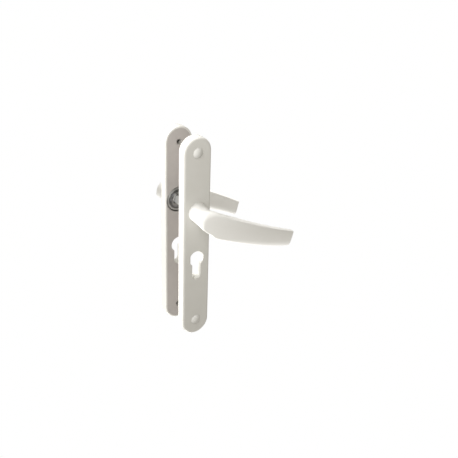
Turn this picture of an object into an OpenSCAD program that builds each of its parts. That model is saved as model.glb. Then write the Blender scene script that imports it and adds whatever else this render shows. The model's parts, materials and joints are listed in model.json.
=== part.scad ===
// Pair of lever handles on narrow backplates with euro-profile cylinder cut-outs.
// Millimetres, +Z up. The origin is on the spindle axis, half-way between the
// two mounting faces. The front handle stands out towards -Y, the rear handle
// towards +Y, and both levers point towards +X. Depths "d" are measured from a
// plate's mounting face outwards; heights "n" from its outer face outwards.

/* [Plates] */
// Width of each backplate
plate_w = 32; // [31.5:0.5:36]
// Thickness of each backplate
plate_t = 11; // [11:0.1:12]
// Height of the plate's top end above the spindle axis
plate_top = 81.5; // [81:0.5:90]
// Depth of the plate's bottom end below the spindle axis
plate_bottom = 147.5; // [147:0.5:156]
// Radius of the rounded outer edge
edge_r = 2.6; // [1:0.1:3]
// Radius of the edge round the mounting face
back_edge_r = 1.2; // [0.4:0.1:2]
// Distance between the two mounting faces, where the door leaf sits
door_gap = 27; // [20:0.5:80]

/* [Fixings] */
// Height of the upper fixing centre above the spindle axis
screw_top = 65; // [63:0.5:66]
// Distance between the two fixing centres
screw_spacing = 195; // [193:0.5:196]
// Clearance hole through the front plate
screw_hole_d = 5.5; // [5.2:0.1:6]
// Counterbore that takes a bolt head and its cap
head_bore_d = 11.2; // [11:0.1:12]
// Depth of that counterbore
head_bore_depth = 5.5; // [4:0.5:6]
// Hole in the rear plate that holds a threaded insert
insert_hole_d = 6.5; // [6.3:0.1:7]
// Core diameter of the insert's M5 thread
thread_core_d = 4.2; // [4:0.1:4.5]
// Height of the cap's dome above the plate
cap_dome = 1.9; // [1:0.1:2.5]

/* [Cylinder cut-out] */
// Distance from the spindle axis down to the centre of the round part
cyl_drop = 53.9; // [50:0.1:56]
// Radius of the round part
cyl_r = 8.6; // [8.55:0.05:9]
// Width of the slot below it
cyl_slot_w = 10.2; // [10.1:0.1:11]
// Overall height of the cut-out
cyl_height = 33.2; // [33.1:0.1:34]

/* [Levers] */
// Angle of the front lever below square to the plate
front_droop = 20.9; // [15:0.1:25]
// Angle of the rear lever below square to the plate
rear_droop = 23.7; // [15:0.1:24]
// Radius of the round neck
neck_r = 9.8; // [9.5:0.1:11]
// Radius of the bend from the neck into the grip's outer face
elbow_r = 5; // [3:0.5:6]
// Length of the grip from the spindle axis to its tip
grip_len = 111.3; // [90:0.1:130]
// Height of the grip's outer face above the plate at its highest point
grip_crest = 37.5; // [36:0.5:42]
// Radius of the grip's bowed outer face
outer_bow_r = 167; // [160:1:190]
// Radius of the grip's bowed inner face
inner_bow_r = 168; // [160:1:190]

/* [Spindle] */
// Width across the flats of the square spindle
spindle_w = 8; // [7.8:0.1:8]
// Width across the flats of the square hole in each lever
spindle_hole_w = 8.3; // [8.3:0.05:8.5]

/* [Return spring] */
// Radius of the spring wire
wire_r = 0.5; // [0.4:0.05:0.5]
// Mean radius of the coil
coil_r = 10.1; // [9.8:0.1:10.4]

/* [Hidden] */

$fn = 96;
half = door_gap / 2;
R = plate_w / 2;
z_hi = plate_top - R;
z_lo = -(plate_bottom - R);
screw_zs = [screw_top, screw_top - screw_spacing];

cup_r = 14.5;         // outside of the spring cup
cup_wall = 0.75;
stop_angle = 130;     // fixed stop in the cup, counted from +X towards +Z
lug_angle = 70;       // the follower's lug, counted from the grip
leg_angle = 9.6;      // from the middle of a stop or lug to the spring leg beside it
pocket_r = 14.6;      // pocket for it in the plate
pocket_d = 8;
bush_r = 9.5;         // bore in the plate for the bush
hub_r = 8;            // the lever's hub, which turns in the bush
flat_w = 14.4;        // width across the hub's four driving flats
groove_r = 6.9;       // circlip groove

// crest of the bowed faces along the grip, measured from the spindle axis
outer_crest_x = 59;
inner_crest_x = 66.2;
inner_crest_n = grip_crest - 8.65;

white = [0.93, 0.93, 0.91];
steel = [0.72, 0.72, 0.74];

// ---- helpers ----------------------------------------------------------

// The rear side is the front side mirrored through the door's mid-plane.
module at_side(rear) {
    if (rear) mirror([0, 1, 0]) children();
    else children();
}

// Cylinder along the spindle direction on the front side, from depth d0 to d1
module disc(r, d0, d1) {
    translate([0, -half - d0, 0]) rotate([90, 0, 0]) cylinder(r = r, h = d1 - d0);
}

// Flat shape (x across, y up) from depth d0 to d1 on the front side
module slab(d0, d1) {
    translate([0, -half - d0, 0]) rotate([90, 0, 0]) linear_extrude(height = d1 - d0) children();
}

// ---- backplates -------------------------------------------------------

// Half of the plate's cross-section: x from the middle out, y from the mounting face out
module half_section() {
    translate([0, back_edge_r]) square([R, plate_t - edge_r - back_edge_r]);
    square([R - back_edge_r, plate_t - edge_r]);
    translate([R - back_edge_r, back_edge_r]) circle(r = back_edge_r, $fn = 48);
    square([R - edge_r, plate_t]);
    translate([R - edge_r, plate_t - edge_r]) circle(r = edge_r, $fn = 48);
}

module plate_blank() {
    translate([0, 0, z_lo]) linear_extrude(height = z_hi - z_lo)
        translate([0, -half]) mirror([0, 1]) {
            half_section();
            mirror([1, 0]) half_section();
        }
    for (z = [z_lo, z_hi])
        translate([0, -half, z]) rotate([90, 0, 0]) rotate_extrude($fn = 96) half_section();
}

module cylinder_cutout() {
    translate([0, 0, -cyl_drop]) disc(cyl_r, -1, plate_t + 1);
    low = -cyl_drop + cyl_r - cyl_height + cyl_slot_w / 2;
    translate([0, 0, low]) disc(cyl_slot_w / 2, -1, plate_t + 1);
    slab(-1, plate_t + 1)
        translate([-cyl_slot_w / 2, low]) square([cyl_slot_w, -cyl_drop - low]);
}

module plate(rear) {
    at_side(rear) difference() {
        plate_blank();
        cylinder_cutout();
        // bore for the bush and pocket for the spring cup
        disc(bush_r, -1, plate_t + 1);
        disc(pocket_r, -1, pocket_d);
        for (z = screw_zs) translate([0, 0, z]) {
            if (rear) disc(insert_hole_d / 2, -1, 9);
            else {
                disc(screw_hole_d / 2, -1, plate_t + 1);
                disc(head_bore_d / 2, plate_t - head_bore_depth, plate_t + 1);
            }
        }
    }
}

module front_plate() { color(white) plate(false); }
module rear_plate() { color(white) plate(true); }

// ---- levers -----------------------------------------------------------

grip_top0 = 9.7;     // half heights of the grip above and below its axis line,
grip_top1 = 4.5;     // at the spindle axis (0) and at the tip (1)
grip_low0 = -18;
grip_low1 = -12.4;
lobe_x = 4;          // centre and radius of the grip's rounded end over the neck
lobe_z = -1;
lobe_r = 11.4;
function edge_z(x, a, b, bow) =
    let (t = x / grip_len) a + (b - a) * t + 4 * bow * t * (1 - t);

// Outline of the grip seen square to the door: x along the grip, y up
module grip_outline() {
    n = 14;
    polygon(concat(
        [for (i = [0:n]) let (x = lobe_x + (grip_len - 0.9 - lobe_x) * i / n) [x, edge_z(x, grip_top0 + 0.3, grip_top1, 0.45)]],
        [for (i = [n:-1:1]) let (x = lobe_x + (grip_len + 0.6 - lobe_x) * i / n) [x, edge_z(x, grip_low0, grip_low1, 0.9)]],
        [[lobe_x, lobe_z - lobe_r]]));
    // rounded end over the neck
    translate([lobe_x, lobe_z]) circle(r = lobe_r);
}

// The region under the bowed outer face, seen from above: x along the grip, y outwards
module under_outer_face() {
    offset(r = elbow_r) offset(delta = -elbow_r) intersection() {
        translate([outer_crest_x, -(half + plate_t + grip_crest - outer_bow_r)]) circle(r = outer_bow_r, $fn = 360);
        translate([-neck_r - 0.02, -(half + plate_t + 60)]) square([200, 120]);
    }
}
module under_inner_face() {
    translate([inner_crest_x, -(half + plate_t + inner_crest_n - inner_bow_r)]) circle(r = inner_bow_r, $fn = 360);
    // level behind the rounded end
    translate([-20, -(half + plate_t + 18.4)]) square([28, 60]);
}

module lever_solid(droop) {
    difference() {
        union() {
            // hub through the plate
            disc(hub_r, 0.1, plate_t + 1);
            rotate([0, droop, 0]) intersection() {
                translate([0, 0, -40]) linear_extrude(height = 80) under_outer_face();
                union() {
                    disc(neck_r, plate_t + 0.25, plate_t + 45);
                    difference() {
                        slab(plate_t + 2, plate_t + 45) grip_outline();
                        translate([0, 0, -41]) linear_extrude(height = 82) under_inner_face();
                    }
                }
            }
        }
        // circlip groove
        difference() {
            disc(hub_r + 1, 0.28, 0.92);
            disc(groove_r, 0.2, 1);
        }
        // four driving flats for the follower, and the square hole for the spindle
        rotate([0, droop, 0]) {
            for (a = [0:90:270]) rotate([0, a, 0])
                slab(-0.5, 3.05) translate([flat_w / 2, -10]) square([5, 20]);
            slab(-0.5, plate_t + 20) square(spindle_hole_w, center = true);
        }
    }
}

module front_lever() { color(white) lever_solid(front_droop); }
module rear_lever() { color(white) at_side(true) lever_solid(rear_droop); }

// ---- bearing bush, spring cup and retaining parts ----------------------

module bush(rear) {
    at_side(rear) difference() {
        union() {
            disc(bush_r - 0.02, 7.9, plate_t + 0.15);
            disc(11.5, 7.2, pocket_d);
        }
        disc(hub_r + 0.05, 7, plate_t + 1);
    }
}
module front_bush() { color([0.95, 0.94, 0.9]) bush(false); }
module rear_bush() { color([0.95, 0.94, 0.9]) bush(true); }

module spring_cup(rear) {
    at_side(rear) {
        difference() {
            disc(cup_r, 0.3, pocket_d);
            disc(cup_r - cup_wall, 0, pocket_d - 0.8);
            disc(11.6, 7, pocket_d + 1);
        }
        // fixed stop that holds one leg of the spring
        intersection() {
            difference() {
                disc(cup_r - 0.3, 3.4, pocket_d - 0.4);
                disc(11.7, 3, pocket_d);
            }
            rotate([0, -stop_angle, 0]) slab(3, pocket_d) translate([0, -1.5]) square([20, 3]);
        }
    }
}
module front_spring_cup() { color(steel) spring_cup(false); }
module rear_spring_cup() { color(steel) spring_cup(true); }

// Disc with four flats that turns with the lever and carries the other leg
module follower(rear, droop) {
    at_side(rear) rotate([0, droop, 0]) {
        difference() {
            disc(13.2, 2, 3);
            intersection() {
                disc(hub_r + 0.05, 1, 4);
                slab(1, 4) square(flat_w + 0.1, center = true);
            }
        }
        intersection() {
            difference() {
                disc(13.2, 2.5, 6.8);
                disc(11.8, 2, 7);
            }
            rotate([0, -lug_angle, 0]) slab(2, 7) translate([0, -1.5]) square([20, 3]);
        }
    }
}
module front_follower() { color(steel) follower(false, front_droop); }
module rear_follower() { color(steel) follower(true, rear_droop); }

// Coil with two radial legs. Each ring of points lies across the wire.
coil_steps = 54;
ring_n = 8;
coil_d0 = 3.6;
coil_d1 = 6.55;
function er(a) = [cos(a), 0, sin(a)];
function et(a) = [-sin(a), 0, cos(a)];
function coil_y(i) = -half - coil_d0 - (coil_d1 - coil_d0) * i / coil_steps;
function coil_ring(c, u) =
    [for (k = [0:ring_n - 1]) let (p = 360 * k / ring_n) c + wire_r * (cos(p) * u + sin(p) * [0, 1, 0])];
module spring_sweep(rings) {
    m = len(rings);
    polyhedron(
        points = [for (r = rings) for (q = r) q],
        faces = concat(
            [[for (k = [0:ring_n - 1]) k]],
            [for (i = [0:m - 2]) for (k = [0:ring_n - 1])
                let (a = i * ring_n + k, b = i * ring_n + (k + 1) % ring_n)
                [a, a + ring_n, b + ring_n, b]],
            [[for (k = [ring_n - 1:-1:0]) (m - 1) * ring_n + k]]));
}
module return_spring(rear, droop) {
    a0 = stop_angle + leg_angle;
    a1 = 3 * 360 + lug_angle - droop - leg_angle;
    at_side(rear) spring_sweep(concat(
        [coil_ring((coil_r + 2.6) * er(a0) + [0, coil_y(0), 0], et(a0)),
         coil_ring(coil_r * er(a0) + [0, coil_y(0), 0], er(a0) + et(a0))],
        [for (i = [1:coil_steps - 1]) let (a = a0 + (a1 - a0) * i / coil_steps)
            coil_ring(coil_r * er(a) + [0, coil_y(i), 0], er(a))],
        [coil_ring(coil_r * er(a1) + [0, coil_y(coil_steps), 0], er(a1) - et(a1)),
         coil_ring((coil_r + 2.6) * er(a1) + [0, coil_y(coil_steps), 0], -et(a1))]));
}
module front_return_spring() { color(steel) return_spring(false, front_droop); }
module rear_return_spring() { color(steel) return_spring(true, rear_droop); }

// Thin ring with three waves, which takes up the end play
wave_steps = 48;
module wave_washer(rear) {
    ri = 8.15;
    ro = 12;
    pts = [for (i = [0:wave_steps - 1]) let (a = 360 * i / wave_steps, y = -half - 1.66 + 0.13 * cos(3 * a))
        each [ri * er(a) + [0, y + 0.15, 0], ro * er(a) + [0, y + 0.15, 0],
              ro * er(a) + [0, y - 0.15, 0], ri * er(a) + [0, y - 0.15, 0]]];
    at_side(rear) polyhedron(points = pts, faces = [
        for (i = [0:wave_steps - 1]) for (k = [0:3])
            let (j = (i + 1) % wave_steps, l = (k + 1) % 4)
            each [[4 * i + k, 4 * i + l, 4 * j + l], [4 * i + k, 4 * j + l, 4 * j + k]]]);
}
module front_wave_washer() { color(steel) wave_washer(false); }
module rear_wave_washer() { color(steel) wave_washer(true); }

module washer(rear) {
    at_side(rear) difference() {
        disc(12.9, 0.94, 1.34);
        disc(hub_r + 0.06, 0, 2);
    }
}
module front_washer() { color(steel) washer(false); }
module rear_washer() { color(steel) washer(true); }

// Open ring in the hub's groove, with two ears beside its gap
module circlip(rear, droop) {
    at_side(rear) rotate([0, droop, 0]) rotate([0, 180, 0]) difference() {
        union() {
            disc(8.9, 0.3, 0.9);
            for (s = [-1, 1]) rotate([0, 17 * s, 0]) translate([9.3, 0, 0]) disc(1.5, 0.3, 0.9);
        }
        disc(groove_r + 0.05, 0, 2);
        for (s = [-1, 1]) rotate([0, 17 * s, 0]) translate([9.3, 0, 0]) disc(0.6, 0, 2);
        slab(0, 2) translate([0, -1.2]) square([20, 2.4]);
    }
}
module front_circlip() { color([0.35, 0.35, 0.37]) circlip(false, front_droop); }
module rear_circlip() { color([0.35, 0.35, 0.37]) circlip(true, rear_droop); }

// ---- spindle, caps and inserts -----------------------------------------

spindle_half = half + plate_t + 18;
module square_spindle() {
    color(steel) rotate([0, (front_droop + rear_droop) / 2, 0]) intersection() {
        cube([spindle_w, 2 * spindle_half, spindle_w], center = true);
        rotate([90, 0, 0]) cylinder(r = spindle_w * 0.66, h = 2 * spindle_half + 2, center = true);
    }
}

// Domed cap with a hollow skirt that presses into the counterbore
module screw_cap() {
    r = head_bore_d / 2 - 0.05;
    ball = (r * r + cap_dome * cap_dome) / (2 * cap_dome);
    intersection() {
        translate([0, -half - plate_t - cap_dome + ball, 0]) sphere(r = ball);
        disc(r, plate_t, plate_t + 5);
    }
    difference() {
        disc(r, plate_t - 2.6, plate_t);
        disc(r - 0.9, plate_t - 3, plate_t - 0.9);
    }
}
module screw_caps() {
    color(white) for (z = screw_zs) translate([0, 0, z]) screw_cap();
}

module threaded_inserts() {
    color([0.7, 0.7, 0.68]) at_side(true) for (z = screw_zs) translate([0, 0, z]) difference() {
        disc(insert_hole_d / 2 - 0.02, 0.4, 8.98);
        disc(thread_core_d / 2, 0, 10);
    }
}

// ---- assembly -----------------------------------------------------------

front_plate();
rear_plate();
front_lever();
rear_lever();
front_bush();
rear_bush();
front_spring_cup();
rear_spring_cup();
front_return_spring();
rear_return_spring();
front_follower();
rear_follower();
front_wave_washer();
rear_wave_washer();
front_washer();
rear_washer();
front_circlip();
rear_circlip();
square_spindle();
screw_caps();
threaded_inserts();
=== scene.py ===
"""Lever handle pair on narrow euro-profile backplates: looks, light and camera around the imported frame."""
import json
import math

import bpy
import numpy as np
from mathutils import Matrix, Vector

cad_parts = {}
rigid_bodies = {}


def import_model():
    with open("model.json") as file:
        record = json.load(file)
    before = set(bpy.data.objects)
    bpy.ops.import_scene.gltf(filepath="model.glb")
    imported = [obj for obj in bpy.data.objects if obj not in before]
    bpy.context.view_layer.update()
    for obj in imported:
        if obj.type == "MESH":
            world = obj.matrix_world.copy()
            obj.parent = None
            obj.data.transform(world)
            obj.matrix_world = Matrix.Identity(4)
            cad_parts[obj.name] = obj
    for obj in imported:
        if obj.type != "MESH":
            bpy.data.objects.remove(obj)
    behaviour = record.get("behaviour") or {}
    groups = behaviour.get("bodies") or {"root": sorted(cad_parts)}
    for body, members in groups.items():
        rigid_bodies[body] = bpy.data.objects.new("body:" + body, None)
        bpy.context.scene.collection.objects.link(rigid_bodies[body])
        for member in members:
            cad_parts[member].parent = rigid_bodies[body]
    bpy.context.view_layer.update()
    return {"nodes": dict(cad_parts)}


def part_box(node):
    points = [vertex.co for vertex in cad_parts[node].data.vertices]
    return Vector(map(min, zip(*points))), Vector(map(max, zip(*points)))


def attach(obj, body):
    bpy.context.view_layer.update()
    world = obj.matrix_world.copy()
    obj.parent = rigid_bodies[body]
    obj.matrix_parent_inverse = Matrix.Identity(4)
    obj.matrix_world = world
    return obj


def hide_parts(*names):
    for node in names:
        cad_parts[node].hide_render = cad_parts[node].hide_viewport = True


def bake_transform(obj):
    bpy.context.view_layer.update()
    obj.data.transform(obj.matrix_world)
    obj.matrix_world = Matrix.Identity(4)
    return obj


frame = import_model()
NODES = frame["nodes"]
MM = 0.001

# ---------------------------------------------------------------- sizes read from the frame
fp_lo, fp_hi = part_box("front_plate")
rp_lo, rp_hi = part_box("rear_plate")
HALF = rp_lo.y                       # mounting face to the door's mid-plane
PLATE_T = rp_hi.y - rp_lo.y
PLATE_R = (fp_hi.x - fp_lo.x) / 2
PLATE_TOP, PLATE_LOW = fp_hi.z, fp_lo.z

FRONT_DROOP = math.radians(20.9)
REAR_DROOP = math.radians(23.7)


# ---------------------------------------------------------------- node helpers
def new_mat(name):
    m = bpy.data.materials.new(name)
    m.use_nodes = True
    nt = m.node_tree
    for n in list(nt.nodes):
        nt.nodes.remove(n)
    out = nt.nodes.new("ShaderNodeOutputMaterial")
    bs = nt.nodes.new("ShaderNodeBsdfPrincipled")
    nt.links.new(bs.outputs[0], out.inputs[0])
    return m, nt, bs


def N(nt, kind, **inputs):
    n = nt.nodes.new(kind)
    for k, v in inputs.items():
        if k.startswith("_"):
            setattr(n, k[1:], v)
        else:
            n.inputs[k.replace("__", " ")].default_value = v
    return n


def noise(nt, vec, scale, detail=2.0, rough=0.5):
    n = nt.nodes.new("ShaderNodeTexNoise")
    n.inputs["Scale"].default_value = scale
    n.inputs["Detail"].default_value = detail
    n.inputs["Roughness"].default_value = rough
    nt.links.new(vec, n.inputs["Vector"])
    return n.outputs[0]


def ramp(nt, fac, stops):
    r = nt.nodes.new("ShaderNodeValToRGB")
    el = r.color_ramp.elements
    while len(el) < len(stops):
        el.new(0.5)
    for e, (p, c) in zip(el, stops):
        e.position = p
        e.color = (*c, 1.0) if len(c) == 3 else c
    nt.links.new(fac, r.inputs[0])
    return r.outputs[0]


def maprange(nt, fac, a, b, lo, hi):
    n = nt.nodes.new("ShaderNodeMapRange")
    n.inputs["From Min"].default_value = a
    n.inputs["From Max"].default_value = b
    n.inputs["To Min"].default_value = lo
    n.inputs["To Max"].default_value = hi
    nt.links.new(fac, n.inputs["Value"])
    return n.outputs[0]


def calc(nt, op, a, b=None):
    n = nt.nodes.new("ShaderNodeMath")
    n.operation = op
    nt.links.new(a, n.inputs[0])
    if b is not None:
        nt.links.new(b, n.inputs[1])
    return n.outputs[0]


def bump(nt, height, strength, dist, prev=None):
    b = nt.nodes.new("ShaderNodeBump")
    b.inputs["Strength"].default_value = strength
    b.inputs["Distance"].default_value = dist
    nt.links.new(height, b.inputs["Height"])
    if prev is not None:
        nt.links.new(prev, b.inputs["Normal"])
    return b.outputs[0]


def objco(nt):
    return nt.nodes.new("ShaderNodeTexCoord").outputs["Object"]


# ---------------------------------------------------------------- materials
def powder_coat(name, light, dark, rough, mount_shade_tone=None):
    """Satin powder coat: fine orange peel, a very slight mottle and casting waviness.
    Given a tone for the mounting side, the flat side against the door is painted darker: painted shade for the shade
    that falls between the plates."""
    m, nt, bs = new_mat(name)
    co = objco(nt)
    mottle = noise(nt, co, 45.0, 3.0, 0.6)
    col = ramp(nt, mottle, [(0.32, dark), (0.68, light)])
    if mount_shade_tone:
        # painted shade: a darker tone on the flat mounting face, standing in for the shade that falls between the
        # plates
        sep = nt.nodes.new("ShaderNodeSeparateXYZ")
        nt.links.new(co, sep.inputs[0])
        ab = nt.nodes.new("ShaderNodeMath")
        ab.operation = "ABSOLUTE"
        nt.links.new(sep.outputs["Y"], ab.inputs[0])
        mount_shade_mask = maprange(nt, ab.outputs[0], HALF + 0.00006, HALF + 0.0002, 1.0, 0.0)
        # ... and the painted shade stops a little inside the outline, leaving the rounded edge in the white coat
        zc = maprange(nt, sep.outputs["Z"], PLATE_LOW + PLATE_R, PLATE_TOP - PLATE_R, 0.0, 1.0)
        zm = maprange(nt, zc, 0.0, 1.0, PLATE_LOW + PLATE_R, PLATE_TOP - PLATE_R)
        dz = calc(nt, "SUBTRACT", sep.outputs["Z"], zm)
        rr = calc(nt, "SQRT", calc(nt, "ADD", calc(nt, "MULTIPLY", dz, dz), calc(nt, "MULTIPLY", sep.outputs["X"], sep.outputs["X"])))
        shade_inside_outline = maprange(nt, rr, PLATE_R - 0.0022, PLATE_R - 0.0018, 1.0, 0.0)
        mount_shade_mask = calc(nt, "MULTIPLY", mount_shade_mask, shade_inside_outline)
        # painted shade tone for the mounting face, with a little mottle
        mount_shade_col = ramp(nt, noise(nt, co, 70.0, 4.0, 0.65), [(0.3, tuple(c * 0.93 for c in mount_shade_tone)), (0.7, mount_shade_tone)])
        mx = nt.nodes.new("ShaderNodeMix")
        mx.data_type = "RGBA"
        ca, cb = [i for i in mx.inputs if i.type == "RGBA"][:2]
        nt.links.new(mount_shade_mask, mx.inputs[0])
        nt.links.new(col, ca)
        nt.links.new(mount_shade_col, cb)
        col = [o for o in mx.outputs if o.type == "RGBA"][0]
    nt.links.new(col, bs.inputs["Base Color"])
    peel = noise(nt, co, 1500.0, 2.0, 0.55)
    wave = noise(nt, co, 90.0, 1.0, 0.5)
    r = maprange(nt, peel, 0.3, 0.7, rough - 0.05, rough + 0.07)
    nt.links.new(r, bs.inputs["Roughness"])
    b = bump(nt, wave, 0.25, 0.00012)
    b = bump(nt, peel, 0.22, 0.00006, b)
    nt.links.new(b, bs.inputs["Normal"])
    bs.inputs["Specular IOR Level"].default_value = 0.42
    return m


def moulded_plastic(name, light, dark, rough, sub=0.0):
    m, nt, bs = new_mat(name)
    co = objco(nt)
    col = ramp(nt, noise(nt, co, 140.0, 2.0), [(0.35, dark), (0.65, light)])
    nt.links.new(col, bs.inputs["Base Color"])
    fine = noise(nt, co, 2600.0, 2.0)
    nt.links.new(maprange(nt, fine, 0.3, 0.7, rough - 0.04, rough + 0.05), bs.inputs["Roughness"])
    nt.links.new(bump(nt, fine, 0.12, 0.00003), bs.inputs["Normal"])
    if sub:
        bs.inputs["Subsurface Weight"].default_value = sub
        bs.inputs["Subsurface Radius"].default_value = (0.002, 0.0018, 0.0015)
    return m


def turned_metal(name, light, dark, rough, ring_scale=2600.0, ring_bump=0.35, dark_centre_r=None):
    """Metal with fine concentric lathe or press marks round the spindle axis.
    Given a radius for a darker centre, the colour inside that radius is darker."""
    m, nt, bs = new_mat(name)
    co = objco(nt)
    sep = nt.nodes.new("ShaderNodeSeparateXYZ")
    nt.links.new(co, sep.inputs[0])
    comb = nt.nodes.new("ShaderNodeCombineXYZ")
    nt.links.new(sep.outputs["X"], comb.inputs["X"])
    nt.links.new(sep.outputs["Z"], comb.inputs["Y"])
    ln = nt.nodes.new("ShaderNodeVectorMath")
    ln.operation = "LENGTH"
    nt.links.new(comb.outputs[0], ln.inputs[0])
    ring_v = nt.nodes.new("ShaderNodeCombineXYZ")
    nt.links.new(ln.outputs["Value"], ring_v.inputs["X"])
    rings = noise(nt, ring_v.outputs[0], ring_scale, 3.0, 0.7)
    cloud = noise(nt, co, 260.0, 3.0, 0.6)
    col = ramp(nt, cloud, [(0.35, dark), (0.65, light)])
    if dark_centre_r:
        # the colour is darker inside the given radius
        centre_darkening = maprange(nt, ln.outputs["Value"], dark_centre_r - 0.0004, dark_centre_r + 0.0003, 0.34, 1.0)
        tint = nt.nodes.new("ShaderNodeVectorMath")
        tint.operation = "SCALE"
        nt.links.new(col, tint.inputs[0])
        nt.links.new(centre_darkening, tint.inputs["Scale"])
        col = tint.outputs[0]
    nt.links.new(col, bs.inputs["Base Color"])
    bs.inputs["Metallic"].default_value = 1.0
    nt.links.new(maprange(nt, rings, 0.25, 0.75, rough - 0.07, rough + 0.1), bs.inputs["Roughness"])
    b = bump(nt, rings, ring_bump, 0.00003)
    b = bump(nt, cloud, 0.2, 0.00004, b)
    nt.links.new(b, bs.inputs["Normal"])
    return m


def drawn_metal(name, light, dark, rough):
    """Bright bar with marks drawn along its length."""
    m, nt, bs = new_mat(name)
    co = objco(nt)
    mp = nt.nodes.new("ShaderNodeMapping")
    mp.inputs["Scale"].default_value = (1.0, 0.02, 1.0)
    nt.links.new(co, mp.inputs["Vector"])
    streak = noise(nt, mp.outputs[0], 2400.0, 3.0, 0.65)
    cloud = noise(nt, co, 200.0, 2.0)
    col = ramp(nt, cloud, [(0.35, dark), (0.65, light)])
    nt.links.new(col, bs.inputs["Base Color"])
    bs.inputs["Metallic"].default_value = 1.0
    nt.links.new(maprange(nt, streak, 0.25, 0.75, rough - 0.05, rough + 0.1), bs.inputs["Roughness"])
    nt.links.new(bump(nt, streak, 0.3, 0.00003), bs.inputs["Normal"])
    return m


# painted shade: the plates carry the levers' white coat painted darker, standing in for the dimmer light on the plate
# faces; the mounting-face tone is painted shade too
PLATE = powder_coat("plate_powder_coat", (0.672, 0.665, 0.634), (0.654, 0.646, 0.612), 0.42, mount_shade_tone=(0.475, 0.448, 0.428))
LEVER = powder_coat("lever_powder_coat", (0.90, 0.897, 0.88), (0.88, 0.877, 0.855), 0.36)
CAP = moulded_plastic("cap_plastic", (0.74, 0.738, 0.715), (0.72, 0.717, 0.69), 0.3)
NYLON = moulded_plastic("natural_nylon", (0.80, 0.78, 0.70), (0.74, 0.72, 0.64), 0.5, 0.2)
ZINC = turned_metal("zinc_plate", (0.60, 0.60, 0.59), (0.46, 0.46, 0.45), 0.32, dark_centre_r=0.0113)
PRESSED = turned_metal("pressed_steel", (0.45, 0.44, 0.42), (0.33, 0.32, 0.31), 0.42)
SPRING = turned_metal("spring_steel", (0.36, 0.36, 0.37), (0.24, 0.24, 0.25), 0.26, 1800.0, 0.15)
BAR = drawn_metal("spindle_bar", (0.88, 0.88, 0.87), (0.78, 0.78, 0.77), 0.4)
HUB = turned_metal("machined_hub", (0.40, 0.40, 0.39), (0.26, 0.26, 0.255), 0.24)
INSERT = turned_metal("insert_zinc", (0.56, 0.55, 0.53), (0.46, 0.45, 0.43), 0.38)

FINISH = {
    "front_plate": PLATE, "rear_plate": PLATE, "front_lever": LEVER, "rear_lever": LEVER,
    "front_bush": NYLON, "rear_bush": NYLON, "front_spring_cup": PRESSED, "rear_spring_cup": PRESSED,
    "front_return_spring": SPRING, "rear_return_spring": SPRING, "front_follower": PRESSED,
    "rear_follower": PRESSED, "front_wave_washer": SPRING, "rear_wave_washer": SPRING,
    "front_washer": ZINC, "rear_washer": ZINC, "front_circlip": SPRING, "rear_circlip": SPRING,
    "square_spindle": BAR, "screw_caps": CAP, "threaded_inserts": INSERT,
}


def set_finish(o, mat):
    o.data.materials.clear()
    o.data.materials.append(mat)


scene = bpy.context.scene
# ---------------------------------------------------------------- CAD nodes: weld, soften edges, shade
def shade_group():
    g = bpy.data.node_groups.new("shade_by_angle", "GeometryNodeTree")
    g.interface.new_socket("Geometry", in_out="INPUT", socket_type="NodeSocketGeometry")
    g.interface.new_socket("Geometry", in_out="OUTPUT", socket_type="NodeSocketGeometry")
    gi, go = g.nodes.new("NodeGroupInput"), g.nodes.new("NodeGroupOutput")
    face = g.nodes.new("GeometryNodeSetShadeSmooth")
    face.domain = "FACE"
    edge = g.nodes.new("GeometryNodeSetShadeSmooth")
    edge.domain = "EDGE"
    ang = g.nodes.new("GeometryNodeInputMeshEdgeAngle")
    cmp_ = g.nodes.new("FunctionNodeCompare")
    cmp_.data_type = "FLOAT"
    cmp_.operation = "LESS_EQUAL"
    cmp_.inputs["B"].default_value = math.radians(30)
    g.links.new(ang.outputs[0], cmp_.inputs["A"])
    g.links.new(gi.outputs[0], face.inputs["Geometry"])
    g.links.new(face.outputs[0], edge.inputs["Geometry"])
    g.links.new(cmp_.outputs[0], edge.inputs["Shade Smooth"])
    g.links.new(edge.outputs[0], go.inputs[0])
    return g


SHADE = shade_group()


def flat_normals(o):
    """Keeps large flat faces flat where a rounded edge runs into them."""
    wn = o.modifiers.new("normals", "WEIGHTED_NORMAL")
    wn.mode = "FACE_AREA"
    wn.weight = 90
    wn.keep_sharp = True


def soften(o, width, segments=2):
    """Welds the imported triangles, rounds the sharp edges a little and shades by angle."""
    cn = o.data.attributes.get("custom_normal")
    if cn is not None:
        o.data.attributes.remove(cn)
    w = o.modifiers.new("weld", "WELD")
    w.merge_threshold = 2e-6
    if width:
        b = o.modifiers.new("bevel", "BEVEL")
        b.width = width
        b.segments = segments
        b.limit_method = "ANGLE"
        b.angle_limit = math.radians(38)
        b.use_clamp_overlap = True
        b.miter_outer = "MITER_ARC"
    m = o.modifiers.new("shade", "NODES")
    m.node_group = SHADE
    flat_normals(o)


BEVELS = {
    "front_plate": 0.22, "rear_plate": 0.22, "front_bush": 0.1, "rear_bush": 0.1,
    "front_spring_cup": 0.08, "rear_spring_cup": 0.08, "front_follower": 0.08, "rear_follower": 0.08,
    "front_washer": 0.05, "rear_washer": 0.05, "front_circlip": 0.06, "rear_circlip": 0.06,
    "square_spindle": 0.45, "screw_caps": 0.12,
}
for name, o in NODES.items():
    set_finish(o, FINISH[name])
    soften(o, BEVELS.get(name, 0.0) * MM)


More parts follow.
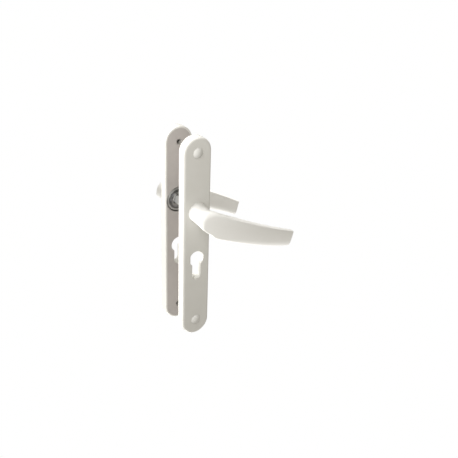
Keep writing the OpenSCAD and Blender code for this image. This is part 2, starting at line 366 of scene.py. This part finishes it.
# ---------------------------------------------------------------- mesh helpers
def add_mesh(name, verts_mm, faces, mat, body, nodes, flip=False, smooth=True):
    if flip:
        faces = [tuple(reversed(f)) for f in faces]
    me = bpy.data.meshes.new(name)
    me.from_pydata((np.asarray(verts_mm) * MM).tolist(), [], [tuple(int(i) for i in f) for f in faces])
    me.validate()
    me.update()
    me.shade_smooth() if smooth else me.shade_flat()
    ob = bpy.data.objects.new(name, me)
    scene.collection.objects.link(ob)
    me.materials.append(mat)
    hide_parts(*nodes)
    if body:
        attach(ob, body)
    return ob


def ring_faces(rows, cols, closed_rows=True):
    """Quads over a grid of points whose columns wrap round, and whose rows may too."""
    out = []
    for i in range(rows if closed_rows else rows - 1):
        i2 = (i + 1) % rows
        for k in range(cols):
            k2 = (k + 1) % cols
            out.append((i * cols + k, i * cols + k2, i2 * cols + k2, i2 * cols + k))
    return out


def shade_here(ob, width=0.0):
    if width:
        b = ob.modifiers.new("bevel", "BEVEL")
        b.width = width * MM
        b.segments = 2
        b.limit_method = "ANGLE"
        b.angle_limit = math.radians(38)
    m = ob.modifiers.new("shade", "NODES")
    m.node_group = SHADE
    flat_normals(ob)


HALF_MM = HALF / MM
T_MM = PLATE_T / MM
FACE = HALF_MM + T_MM            # outer face of a plate, from the mid-plane


def to_world(x, n, z, droop, rear):
    """Lever coordinates (along the grip, out from the plate's face, up) to the row frame, in mm."""
    c, s = math.cos(droop), math.sin(droop)
    y = (FACE + n) * (1 if rear else -1)
    return np.stack([x * c + z * s, y, -x * s + z * c], -1)


# ---------------------------------------------------------------- levers
def smooth01(v, a, b):
    t = np.clip((v - a) / (b - a), 0, 1)
    return t * t * (3 - 2 * t)


def rounded_cut(a, ra, c, rc):
    """Signed distance of the part common to a and c, with an elliptical edge of radii ra and rc."""
    u, v = (a + ra) / ra, (c + rc) / rc
    out = np.sqrt(np.maximum(u, 0) ** 2 + np.maximum(v, 0) ** 2) - 1
    return rc * (out + np.minimum(np.maximum(u, v), 0))


def blend_min(a, b, k):
    h = np.clip(0.5 + 0.5 * (b - a) / k, 0, 1)
    return b * (1 - h) + a * h - k * h * (1 - h)


GRIP = 111.3


def edge_z(x, a, b, bow):
    t = x / GRIP
    return a + (b - a) * t + 4 * bow * t * (1 - t)


def lever_field(x, n, z):
    outer = np.hypot(x - 59.0, n - (37.5 - 167.0)) - 167.0
    xi = np.maximum(x, 8.0) + 1.2 * np.exp(-np.abs(x - 8.0) / 2.5)
    inner = 168.0 - np.hypot(xi - 66.2, n - (28.85 - 168.0))
    top = edge_z(x, 10.0, 4.5, 0.45)
    low = edge_z(x, -14.6, -8.8, 0.9)
    mid = (top + low) / 2
    # the underside bulges below the faces' lower edges, with a soft crease at each
    s, h = (outer - inner) / 2, np.maximum(-(outer + inner) / 2, 1.0)
    full = 4.5 * smooth01(x, 3.0, 15.0)
    q = np.clip(s / h, -1.1, 1.1)
    keel = (low - full * (1 - q * q) - z) / np.sqrt(1 + (2 * full * np.clip(q, -1, 1) / h) ** 2)
    lobe = np.hypot(x - 3.85, z + 0.95) - 11.45
    w = smooth01(x, 2.5, 9.5)
    line = lobe * (1 - w) + np.maximum(z - top, keel) * w
    # a slight crown across the outer face
    outer = outer + 0.3 * np.clip((z - mid) / 6.6, -1.6, 1.6) ** 2
    wx = smooth01(x, 4.0, 26.0)
    wt = smooth01(x, -3.0, 13.0)
    is_top = smooth01(z - mid, -2.0, 2.0)
    r_top = 5.0 * (1 - wt) + 1.1 * wt
    wl = smooth01(x - 0.6 * z, -5.0, 4.0)
    r_low = 5.0 * (1 - wl) + 0.9 * wl
    r = r_top * is_top + r_low * (1 - is_top)
    ri = (3.0 * (1 - wx) + 1.1 * wx) * is_top + (3.0 * (1 - wx) + 0.9 * wx) * (1 - is_top)
    grip = rounded_cut(inner, ri, line, ri)
    # the neck swells a little downwards on its way out, into the grip's lower edge
    swell = 0.5 * smooth01(n, 0.0, 26.0)
    foot = 1.1 - np.sqrt(np.maximum(1.21 - np.maximum(1.1 - n, 0) ** 2, 0))
    flare = 0.6 * (1.0 - smooth01(n, 0.0, 15.0))
    neck = np.hypot(x - swell + 0.4 * flare, z + 1.4 * swell - flare) - (9.6 + swell + foot + flare)
    body = blend_min(neck, grip, 3.0)
    side = -0.371 * x - 0.928 * z - (10.0 + 0.85 * smooth01(n, 0.0, 26.0)) - 8.0 * smooth01(x, 6.0, 14.0)
    body = rounded_cut(body, 0.9, side, 0.9)
    body = rounded_cut(outer, r, body, r)
    # end of the grip
    tz, lz = edge_z(110.4, 10.0, 4.5, 0.45), edge_z(111.9, -14.6, -8.8, 0.9)
    dx, dz = 110.4 - 111.9, tz - lz
    ln = math.hypot(dx, dz)
    tip = ((x - 111.9) * dz - (z - lz) * dx) / ln
    body = rounded_cut(body, 0.9, tip, 0.9)
    # base beside the plate, and the square hole for the spindle
    body = rounded_cut(body, 0.15, 0.12 - n, 0.15)
    hole = np.maximum(np.maximum(np.abs(x), np.abs(z)) - 4.15, n - 20.0)
    return np.maximum(body, -hole)


def surface_nets(field, lo, hi, step):
    """Quads over the zero level of a field sampled on a regular grid; points pulled onto the level itself."""
    ax = [np.arange(a, b + step / 2, step) for a, b in zip(lo, hi)]
    X, Y, Z = np.meshgrid(*ax, indexing="ij")
    f = field(X, Y, Z)
    ins = f < 0
    shape = np.array(f.shape)
    corners = [(i, j, k) for i in (0, 1) for j in (0, 1) for k in (0, 1)]
    cnt = np.zeros(shape - 1, np.int8)
    for i, j, k in corners:
        cnt += ins[i:shape[0] - 1 + i, j:shape[1] - 1 + j, k:shape[2] - 1 + k]
    act = (cnt > 0) & (cnt < 8)
    cells = np.argwhere(act)
    idx = np.full(act.shape, -1, np.int64)
    idx[act] = np.arange(len(cells))
    pos = np.zeros((len(cells), 3))
    num = np.zeros(len(cells))
    for a in corners:
        for axis in range(3):
            if a[axis]:
                continue
            b = list(a)
            b[axis] = 1
            ca, cb = cells + a, cells + b
            fa, fb = f[tuple(ca.T)], f[tuple(cb.T)]
            hit = (fa < 0) != (fb < 0)
            t = fa[hit] / (fa[hit] - fb[hit])
            p = ca[hit].astype(float)
            p[:, axis] += t
            pos[hit] += p
            num[hit] += 1
    pts = pos / num[:, None] * step + np.array(lo)
    e = 0.02
    for _ in range(4):
        g = np.stack([(field(*(pts + d).T) - field(*(pts - d).T)) / (2 * e)
                      for d in (np.eye(3) * e)], -1)
        v = field(*pts.T)
        g2 = np.maximum((g ** 2).sum(-1), 0.2)
        pts = pts - np.clip(v / g2, -step / 2, step / 2)[:, None] * g
    quads = []
    for axis in range(3):
        u, v = [(1, 2), (2, 0), (0, 1)][axis]
        sl_a = [slice(None)] * 3
        sl_b = [slice(None)] * 3
        sl_a[axis], sl_b[axis] = slice(0, -1), slice(1, None)
        sa, sb = ins[tuple(sl_a)], ins[tuple(sl_b)]
        for first in (True, False):
            hit = np.argwhere(sa & ~sb) if first else np.argwhere(~sa & sb)
            ok = (hit[:, u] > 0) & (hit[:, v] > 0) & (hit[:, u] < shape[u] - 1) & (hit[:, v] < shape[v] - 1)
            hit = hit[ok]
            q = []
            for du, dv in ((-1, -1), (0, -1), (0, 0), (-1, 0)):
                c = hit.copy()
                c[:, u] += du
                c[:, v] += dv
                q.append(idx[tuple(c.T)])
            q = np.stack(q, -1)
            quads.append(q if first else q[:, ::-1])
    return pts, np.concatenate(quads)


STEP = 0.45
L_PTS, L_QUADS = surface_nets(lever_field, (-13.5, -0.3, -21.2), (113.9, 38.6, 12.8), STEP)


def hub_rows():
    """Outline rings of the hub: depth from the mounting face, then radius at each angle."""
    k = math.acos(7.2 / 8.0)
    ang = sorted(set([round(2 * math.pi * i / 120, 9) for i in range(120)]
                     + [round((q * math.pi / 2 + sgn * k) % (2 * math.pi), 9) for q in range(4) for sgn in (-1, 1)]
                     + [round(q * math.pi / 2 + math.pi / 4, 9) for q in range(4)]))
    a = np.array(ang)
    m = np.maximum(np.abs(np.cos(a)), np.abs(np.sin(a)))
    flat = np.minimum(8.0, 7.2 / m)
    hole = 4.15 / m
    rows = [(0.1, flat - 0.35), (0.24, flat), (0.28, flat), (0.28, np.minimum(flat, 6.9)), (0.92, np.minimum(flat, 6.9)),
            (0.92, flat), (3.05, flat), (3.05, 0 * a + 8.0), (T_MM + 0.6, 0 * a + 8.0), (T_MM + 0.6, hole), (1.5, hole),
            (0.1, np.minimum(hole + 0.9, flat - 0.9))]
    return a, rows


def build_lever(side, droop, rear, body):
    w = to_world(L_PTS[:, 0], L_PTS[:, 1], L_PTS[:, 2], droop, rear)
    # (x, n, z) with n pointing to -Y is right-handed flipped: the front needs reversed quads
    lever = add_mesh(side + "_lever_body", w, L_QUADS, LEVER, body, [side + "_lever"], flip=rear)
    a, rows = hub_rows()
    pts = []
    for d, r in rows:
        pts.append(to_world(r * np.cos(a), np.full(len(a), d - T_MM), r * np.sin(a), droop, rear))
    hub = add_mesh(side + "_lever_hub", np.concatenate(pts), ring_faces(len(rows), len(a)), HUB, body,
                   [side + "_lever"], flip=not rear)
    shade_here(hub)
    return lever, hub


build_lever("front", FRONT_DROOP, False, "front_handle")
build_lever("rear", REAR_DROOP, True, "rear_handle")


# ---------------------------------------------------------------- return springs
def tube(path, radius, ring=12):
    """Round wire along a list of points, with the frame carried along it."""
    p = np.asarray(path, float)
    t = np.gradient(p, axis=0)
    t /= np.linalg.norm(t, axis=1)[:, None]
    u = np.cross(t[0], [0.0, 1.0, 0.3])
    u /= np.linalg.norm(u)
    pts = []
    for i in range(len(p)):
        u = u - t[i] * np.dot(u, t[i])
        u /= np.linalg.norm(u)
        v = np.cross(t[i], u)
        r = radius * (0.82 if i in (0, len(p) - 1) else 1.0)
        for k in range(ring):
            a = 2 * math.pi * k / ring
            pts.append(p[i] + r * (math.cos(a) * u + math.sin(a) * v))
    faces = ring_faces(len(p), ring, closed_rows=False)
    faces += [tuple(reversed(range(ring))), tuple(range((len(p) - 1) * ring, len(p) * ring))]
    return pts, faces


def spring_path(droop):
    a0 = math.radians(130 + 9.6)
    a1 = math.radians(3 * 360 + 70 - 9.6) - droop
    d0, d1, r = 3.6, 6.55, 10.1

    def at(a, rad, d):
        return np.array([rad * math.cos(a), -HALF_MM - d, rad * math.sin(a)])

    bend, k = 0.75, 5
    out = [at(a0, r + 2.55, d0), at(a0, r + 1.6, d0)]
    # leg, small bend, coil, small bend, leg
    for i in range(k + 1):
        q = math.pi / 2 * i / k
        out.append(at(a0 + (bend * (1 - math.cos(q))) / r, r + bend * (1 - math.sin(q)), d0))
    n = 200
    s0, s1 = a0 + bend * 1.4 / r, a1 - bend * 1.4 / r
    for i in range(n + 1):
        a = s0 + (s1 - s0) * i / n
        out.append(at(a, r, d0 + (d1 - d0) * i / n))
    for i in range(k + 1):
        q = math.pi / 2 * i / k
        out.append(at(a1 - (bend * (1 - math.sin(q))) / r, r + bend * (1 - math.cos(q)), d1))
    out += [at(a1, r + 1.6, d1), at(a1, r + 2.55, d1)]
    return np.array(out)


for side, droop, rear in (("front", FRONT_DROOP, False), ("rear", REAR_DROOP, True)):
    path = spring_path(droop)
    if rear:
        path = path * np.array([1, -1, 1])
    pts, faces = tube(path, 0.5)
    sp = add_mesh(side + "_torsion_spring", pts, faces, SPRING, None, [side + "_return_spring"])
    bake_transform(sp)


# ---------------------------------------------------------------- threaded inserts
def insert_mesh(z0):
    ang = np.arange(96) * 2 * math.pi / 96
    knurl = 3.22 - 0.16 * (0.5 + 0.5 * np.cos(24 * ang)) ** 2
    rows = [(0.42, 0 * ang + 2.45), (0.42, 0 * ang + 3.0), (0.6, 0 * ang + 3.18), (0.8, knurl), (5.2, knurl), (5.3, 0 * ang + 2.85),
            (6.2, 0 * ang + 2.85), (6.3, knurl), (8.6, knurl), (8.98, 0 * ang + 2.95), (8.98, 0 * ang + 2.2)]
    turn = 8.98 - np.arange(0, 161) * (8.98 - 0.6) / 160
    for d in turn[1:]:
        ph = (d / 0.8 + ang / (2 * math.pi)) % 1.0
        rows.append((d, 2.13 + 0.36 * (1 - np.abs(2 * ph - 1))))
    pts = np.concatenate([np.stack([r * np.cos(ang), np.full(len(ang), HALF_MM + d), z0 + r * np.sin(ang)], -1)
                          for d, r in rows])
    return pts, ring_faces(len(rows), len(ang))


il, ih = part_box("threaded_inserts")
z_hi, z_lo = ih.z / MM - 3.23, il.z / MM + 3.23
for tag, z0 in (("upper", z_hi), ("lower", z_lo)):
    pts, faces = insert_mesh(z0)
    ob = add_mesh("threaded_insert_" + tag, pts, faces, INSERT, "plates", ["threaded_inserts"])
    shade_here(ob)


# ---------------------------------------------------------------- light and backdrop
scene.view_settings.view_transform = "Standard"
scene.view_settings.look = "None"

world = bpy.data.worlds.new("studio")
scene.world = world
world.use_nodes = True
wnt = world.node_tree
bg = wnt.nodes["Background"]
AMBIENT = (0.490, 0.468, 0.426)      # weak and slightly warm all round
LEFT = (0.36, 0.362, 0.352)           # rising smoothly towards the left
wco = wnt.nodes.new("ShaderNodeTexCoord")
wsep = wnt.nodes.new("ShaderNodeSeparateXYZ")
wneg = wnt.nodes.new("ShaderNodeMath")
wneg.operation = "MULTIPLY"
wneg.inputs[1].default_value = -1.0
wneg.use_clamp = True
wmul = wnt.nodes.new("ShaderNodeVectorMath")
wmul.operation = "MULTIPLY_ADD"
wmul.inputs[1].default_value = LEFT
wmul.inputs[2].default_value = AMBIENT
wnt.links.new(wco.outputs["Generated"], wsep.inputs[0])
wnt.links.new(wsep.outputs["X"], wneg.inputs[0])
wnt.links.new(wneg.outputs[0], wmul.inputs[0])
wnt.links.new(wmul.outputs[0], bg.inputs["Color"])
bg.inputs["Strength"].default_value = 1.0


def area_light(name, loc, target, size, power, color=(1, 1, 1)):
    ld = bpy.data.lights.new(name, "AREA")
    ld.shape = "RECTANGLE"
    ld.size, ld.size_y = size
    ld.energy = power
    ld.color = color
    ob = bpy.data.objects.new(name, ld)
    scene.collection.objects.link(ob)
    ob.location = loc
    d = Vector(target) - Vector(loc)
    ob.rotation_euler = d.to_track_quat("-Z", "Y").to_euler()
    return ob


def only_lights(lamp, *names):
    """This lamp reaches only the named pieces, as a lamp behind a cut card would."""
    c = bpy.data.collections.new(lamp.name + "_reaches")
    for n in names:
        c.objects.link(bpy.data.objects[n])
    lamp.light_linking.receiver_collection = c


FRONT_SET = ("front_plate", "front_lever_body", "screw_caps")
kick = area_light("left_kicker", (-0.62, 0.20, -0.03), (0, -0.01, -0.03), (0.3, 0.6), 2.5)
only_lights(kick, "front_lever_body", "screw_caps")
kick_plate = area_light("left_kicker_plate", (-0.52, 0.40, -0.03), (0, -0.01, -0.03), (0.3, 0.6), 7.0)
only_lights(kick_plate, "front_plate")
kick_rear = area_light("left_kicker_rear", (-0.62, 0.20, -0.03), (0, 0.02, -0.03), (0.3, 0.6), 2.6)
only_lights(kick_rear, "rear_plate")
front_left = area_light("front_left", (-0.42, -0.26, 0.26), (0, -0.03, 0.0), (0.2, 0.2), 0.52)
only_lights(front_left, "front_plate", "front_lever_body")
front_top = area_light("front_top", (-0.20, -0.16, 0.32), (0, -0.03, -0.02), (0.16, 0.16), 0.62)
only_lights(front_top, "front_plate")
neck_top = area_light("neck_top", (-0.38, -0.07, 0.20), (0, -0.035, 0.0), (0.15, 0.15), 0.26)
only_lights(neck_top, "front_lever_body")
gap_top = area_light("gap_top", (-0.13, -0.05, 0.17), (0, 0.01, 0.07), (0.05, 0.05), 0.22)
only_lights(gap_top, "rear_plate")
gap_low = area_light("gap_low", (-0.13, -0.05, -0.25), (0, 0.01, -0.12), (0.05, 0.05), 0.13)
only_lights(gap_low, "rear_plate")
gap_glint = area_light("gap_glint", (-0.12, -0.03, 0.10), (0, 0.01, 0.0), (0.04, 0.04), 0.4)
only_lights(gap_glint, "square_spindle")
gap_glint_low = area_light("gap_glint_low", (-0.12, -0.03, -0.10), (0, 0.01, 0.0), (0.04, 0.04), 0.3)
only_lights(gap_glint_low, "square_spindle")
cap_light = area_light("cap_light", (-0.38, -0.14, 0.34), (0, -0.02, 0.06), (0.15, 0.15), 2.1)
only_lights(cap_light, "screw_caps")
overhead = area_light("overhead", (-0.10, 0.22, 0.72), (0, 0, 0), (0.4, 0.4), 4.6)
only_lights(overhead, "rear_plate", *FRONT_SET)
overhead_rear = area_light("overhead_rear", (0.36, 0.12, 0.64), (0, 0, 0), (0.4, 0.4), 5.5)
only_lights(overhead_rear, "rear_lever_body")
bounce = area_light("table_bounce", (-0.02, -0.06, -0.75), (0, -0.04, 0), (0.4, 0.2), 4.8)
only_lights(bounce, "front_lever_body")
bounce_plate = area_light("table_bounce_plate", (-0.02, 0.01, -0.75), (0, -0.02, 0), (0.4, 0.1), 3.2)
only_lights(bounce_plate, "front_plate", "rear_plate")
bounce_rear = area_light("table_bounce_rear", (-0.02, 0.06, -0.75), (0, 0.04, 0), (0.4, 0.2), 4.0)
only_lights(bounce_rear, "rear_lever_body")


def only_seen(o):
    """The backdrop is only looked at: it neither lights the object nor shades it."""
    o.visible_diffuse = False
    o.visible_glossy = False
    o.visible_transmission = False
    o.visible_volume_scatter = False
    o.visible_shadow = False


def glow(name, color, strength):
    m = bpy.data.materials.new(name)
    m.use_nodes = True
    nt = m.node_tree
    for n in list(nt.nodes):
        nt.nodes.remove(n)
    out = nt.nodes.new("ShaderNodeOutputMaterial")
    em = nt.nodes.new("ShaderNodeEmission")
    em.inputs["Color"].default_value = (*color, 1)
    em.inputs["Strength"].default_value = strength
    nt.links.new(em.outputs[0], out.inputs[0])
    return m


# white sweep all round
DOME_R = 6.0
nv, nu = 24, 48
dv = [(DOME_R * math.sin(math.pi * i / nv) * math.cos(2 * math.pi * k / nu),
       DOME_R * math.sin(math.pi * i / nv) * math.sin(2 * math.pi * k / nu),
       DOME_R * math.cos(math.pi * i / nv)) for i in range(1, nv) for k in range(nu)]
df = ring_faces(nv - 1, nu, closed_rows=False)
top_i, low_i = len(dv), len(dv) + 1
dv += [(0, 0, DOME_R), (0, 0, -DOME_R)]
df += [(top_i, (k + 1) % nu, k) for k in range(nu)]
df += [(low_i, (nv - 2) * nu + k, (nv - 2) * nu + (k + 1) % nu) for k in range(nu)]
sweep_me = bpy.data.meshes.new("white_sweep")
sweep_me.from_pydata(dv, [], df)
sweep_me.materials.append(glow("sweep_white", (1.0, 1.0, 0.998), 1.0))
sweep = bpy.data.objects.new("white_sweep", sweep_me)
scene.collection.objects.link(sweep)
only_seen(sweep)

# ---------------------------------------------------------------- camera
AZ, EL, ROLL, DIST = (math.radians(30.7722), math.radians(25.2688), math.radians(0.5066), 0.79932)
fw = Vector((math.sin(AZ) * math.cos(EL), math.cos(AZ) * math.cos(EL), -math.sin(EL)))
rt = Vector((math.cos(AZ), -math.sin(AZ), 0.0))
up = rt.cross(fw)
rt2 = rt * math.cos(ROLL) + up * math.sin(ROLL)
up2 = up * math.cos(ROLL) - rt * math.sin(ROLL)
cam_d = bpy.data.cameras.new("camera")
cam = bpy.data.objects.new("camera", cam_d)
scene.collection.objects.link(cam)
rot = Matrix((rt2, up2, -fw)).transposed().to_4x4()
cam.matrix_world = Matrix.Translation(-fw * DIST + Vector((0, -0.0014, 0))) @ rot
cam_d.sensor_width = 36.0
cam_d.lens = 763.71 * 36.0 / 458.0
cam_d.shift_x = (229.0 - 185.852) / 458.0
cam_d.shift_y = (204.269 - 229.0) / 458.0
cam_d.clip_start, cam_d.clip_end = 0.01, 100.0
cam_d.dof.use_dof = False
scene.camera = cam
